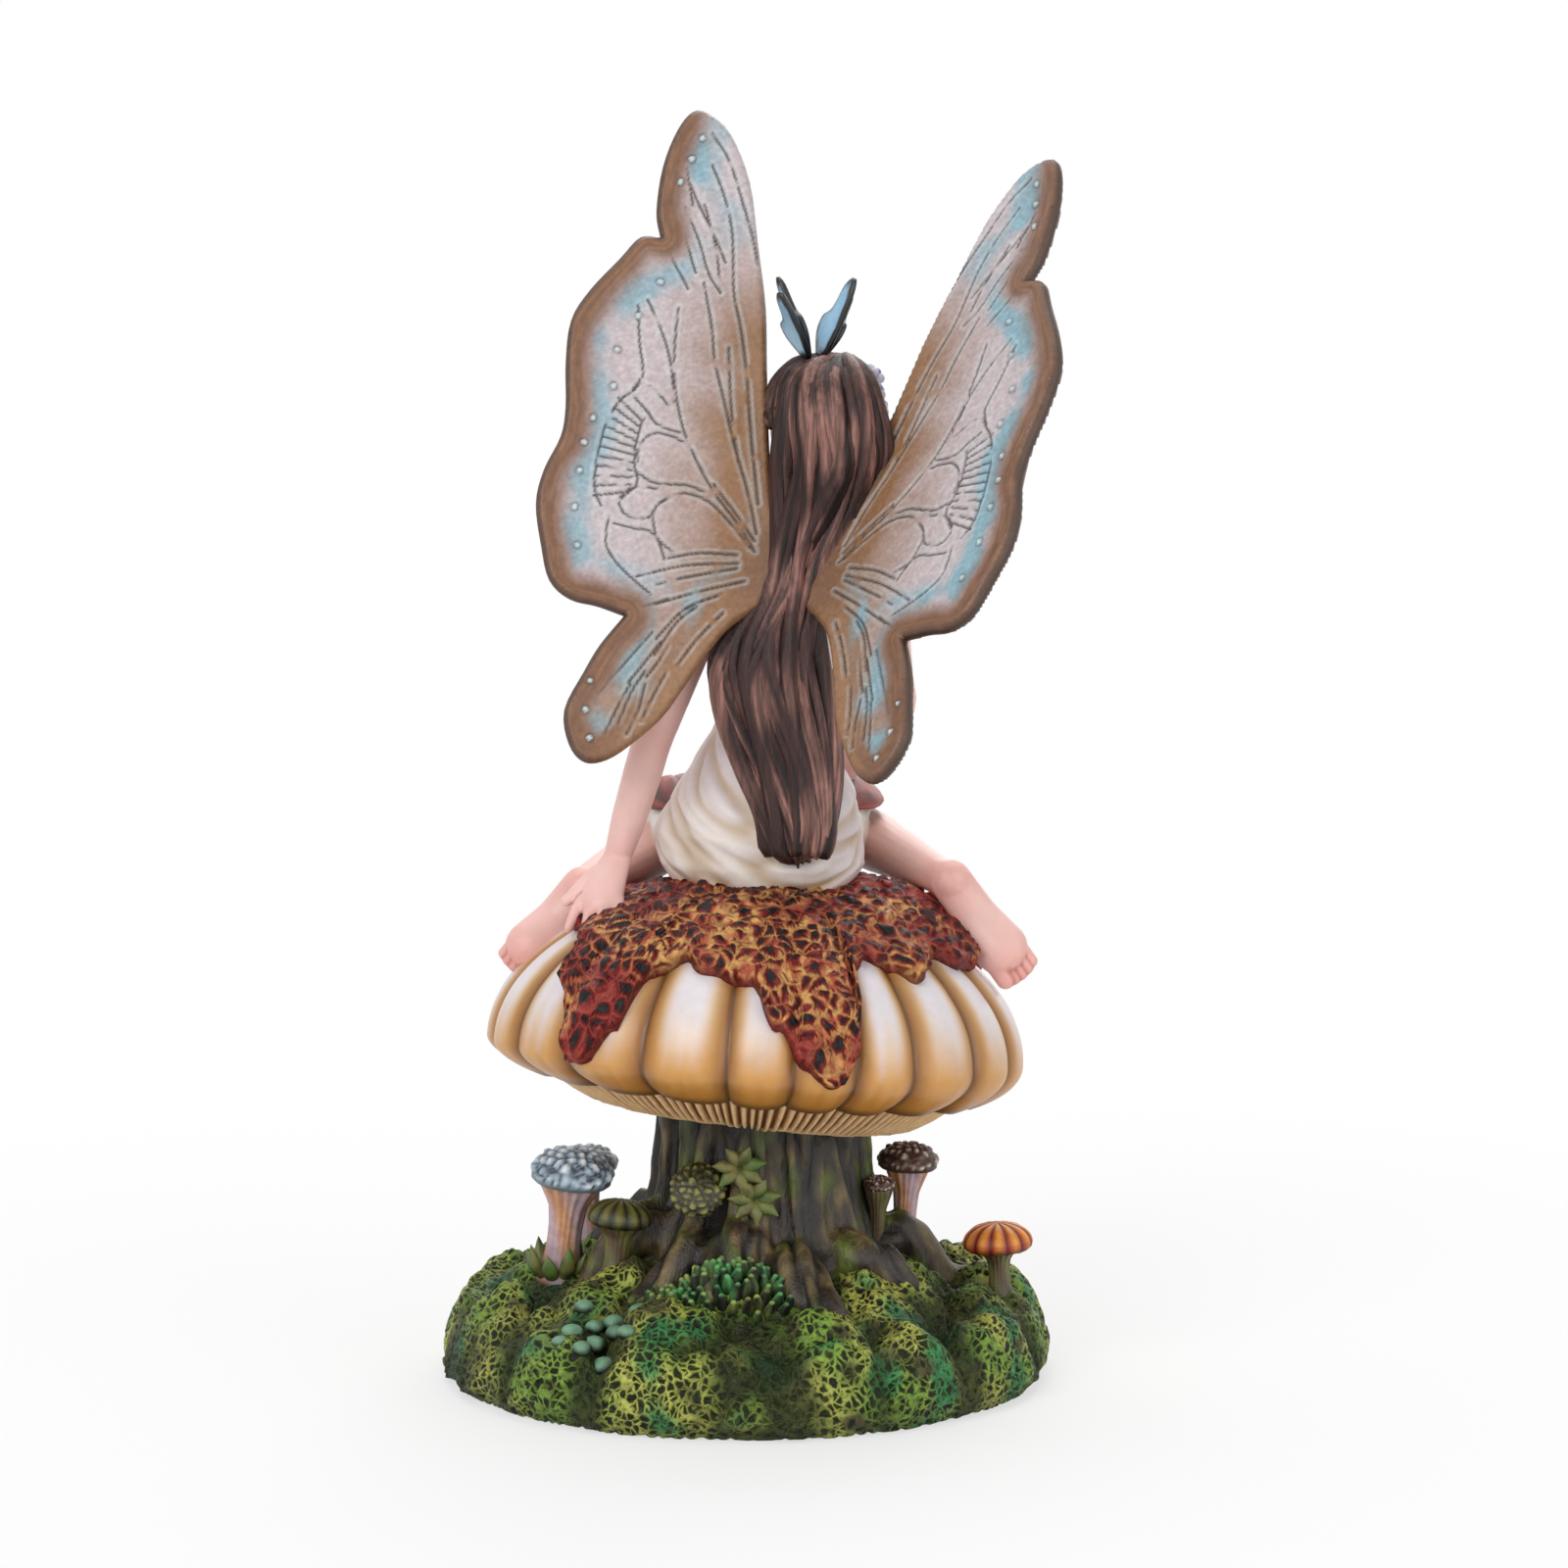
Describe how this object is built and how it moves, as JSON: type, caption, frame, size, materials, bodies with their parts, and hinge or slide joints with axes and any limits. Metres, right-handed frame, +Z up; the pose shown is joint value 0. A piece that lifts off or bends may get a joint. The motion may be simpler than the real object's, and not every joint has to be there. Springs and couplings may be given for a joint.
{
  "type": "fairy figurine",
  "caption": "Painted resin figurine of a long-haired winged fairy seated on a lobed toadstool under a lacy net cloth, on a round mossy base with roots.",
  "frame": {"origin": "centre of the flat underside of the round base, on the surface it stands on", "axes": "+Z up, +Y the way the figure faces, +X towards the figure's right-hand foot as seen from behind"},
  "size_m": [0.1143, 0.1128, 0.2328],
  "materials": {
    "painted_resin": "hand-painted matt resin: moss greens, bark browns, amber and cream cap, red and yellow net, pale skin, off-white dress, brown hair",
    "painted_wing_resin": "hand-painted satin resin: lilac-grey field, sky-blue band, brown border, dark cut veins",
    "painted_blue_resin": "hand-painted satin resin: sky-blue faces with black edges"
  },
  "bodies": {
    "root": {"figure_casting": "painted_resin", "wing_left": "painted_wing_resin", "wing_right": "painted_wing_resin", "hair_butterfly": "painted_blue_resin"}
  },
  "joints": []
}
